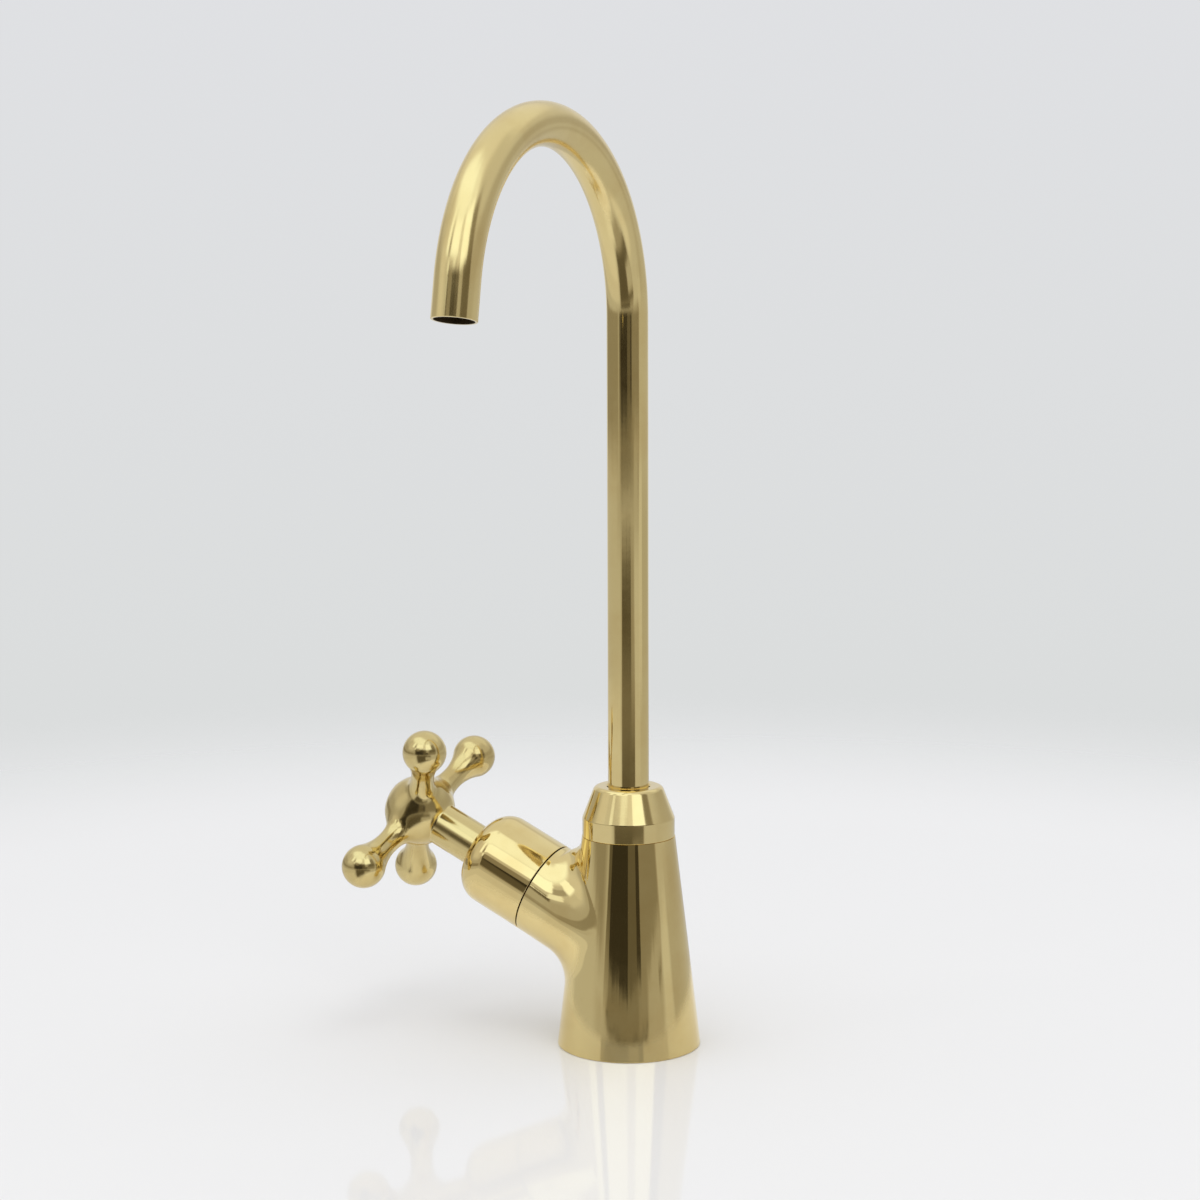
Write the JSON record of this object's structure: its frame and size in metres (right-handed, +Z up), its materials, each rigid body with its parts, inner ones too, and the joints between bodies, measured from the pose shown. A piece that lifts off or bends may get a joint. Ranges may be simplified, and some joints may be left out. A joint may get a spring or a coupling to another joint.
{
  "type": "cold water tap",
  "caption": "Single cold water tap in polished brass: conical body, swivelling swan-neck spout, and a slanted quarter-turn valve with a four-ball cross handle.",
  "frame": {"origin": "centre of the base, on the worktop", "axes": "+Z up along the riser, -Y the way the spout reaches, -X the side the valve leans out to"},
  "size_m": [0.135, 0.1736, 0.3386],
  "materials": {
    "body_brass": "polished, unlacquered",
    "collar_brass": "fine turned, polished",
    "spout_brass": "polished, unlacquered",
    "shroud_brass": "polished, unlacquered",
    "handle_brass": "polished, unlacquered",
    "inner_brass": "as turned",
    "rubber": "matt black",
    "acetal": "natural white",
    "ceramic": "lapped, white",
    "fibre": "red-brown fibre",
    "steel": "bright stainless"
  },
  "bodies": {
    "tap_body": {"body": "body_brass", "base_seal": "rubber", "spout_collar": "collar_brass", "spout_slip_ring_lower": "acetal", "spout_slip_ring_upper": "acetal", "headwork_housing": "inner_brass", "headwork_washer": "fibre", "shroud": "shroud_brass", "fixed_disc": "ceramic", "seat_seal": "rubber", "thrust_washer": "acetal"},
    "spout": {"spout_tube": "spout_brass", "spout_ferrule": "inner_brass", "spout_o_ring_lower": "rubber", "spout_o_ring_upper": "rubber"},
    "handle": {"cross_handle": "handle_brass", "handle_screw": "steel", "index_cap": "handle_brass", "spindle": "inner_brass", "circlip": "steel", "moving_disc": "ceramic", "spindle_o_ring_inner": "rubber", "spindle_o_ring_outer": "rubber"}
  },
  "joints": [
    {"name": "spout_swivel", "type": "hinge", "parent": "tap_body", "child": "spout", "pos_m": [0, 0, 0.0782], "axis": [0, 0, 1], "continuous": true},
    {"name": "handle_turn", "type": "hinge", "parent": "tap_body", "child": "handle", "pos_m": [0, 0, 0.0381], "axis": [-0.9026, 0, 0.4305], "range_deg": [0, 90]}
  ]
}
